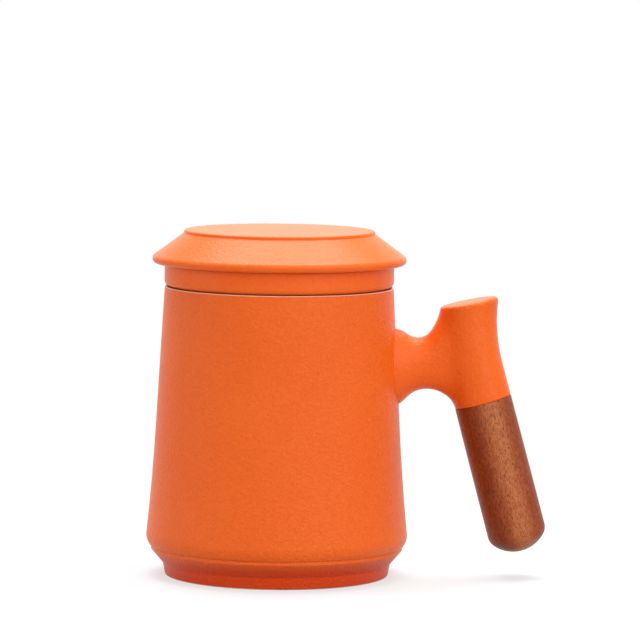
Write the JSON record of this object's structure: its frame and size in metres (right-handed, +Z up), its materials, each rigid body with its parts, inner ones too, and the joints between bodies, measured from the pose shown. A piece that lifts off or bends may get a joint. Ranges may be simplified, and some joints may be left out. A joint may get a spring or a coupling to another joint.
{
  "type": "lidded tea mug with infuser",
  "caption": "Straight-sided ceramic tea mug with a flat-topped lid, a lift-out perforated infuser and a side handle ending in a wooden grip.",
  "frame": {"origin": "on the mug's axis, in the plane that its foot ring stands on", "axes": "+Z up along the mug's axis, +X towards the handle"},
  "size_m": [0.1388, 0.0908, 0.12],
  "materials": {
    "mug_glaze": "matte orange glaze outside, white gloss inside",
    "handle_glaze": "matte orange glaze",
    "epoxy": "cured adhesive",
    "stud_steel": "plain rod",
    "grip_wood": "oiled reddish-brown wood",
    "infuser_glaze": "matte orange collar, white gloss cup",
    "lid_glaze": "matte orange glaze above, white gloss below"
  },
  "bodies": {
    "mug": {"mug_body": "mug_glaze", "handle_arm": "handle_glaze", "stud_adhesive": "epoxy", "grip_stud": "stud_steel", "wooden_grip": "grip_wood"},
    "infuser": {"infuser": "infuser_glaze"},
    "lid": {"lid": "lid_glaze"}
  },
  "joints": [
    {"name": "infuser_lift", "type": "slide", "parent": "mug", "child": "infuser", "axis": [0, 0, 1], "range_m": [0, 0.085]},
    {"name": "lid_lift", "type": "slide", "parent": "infuser", "child": "lid", "axis": [0, 0, 1], "range_m": [0, 0.06]}
  ]
}
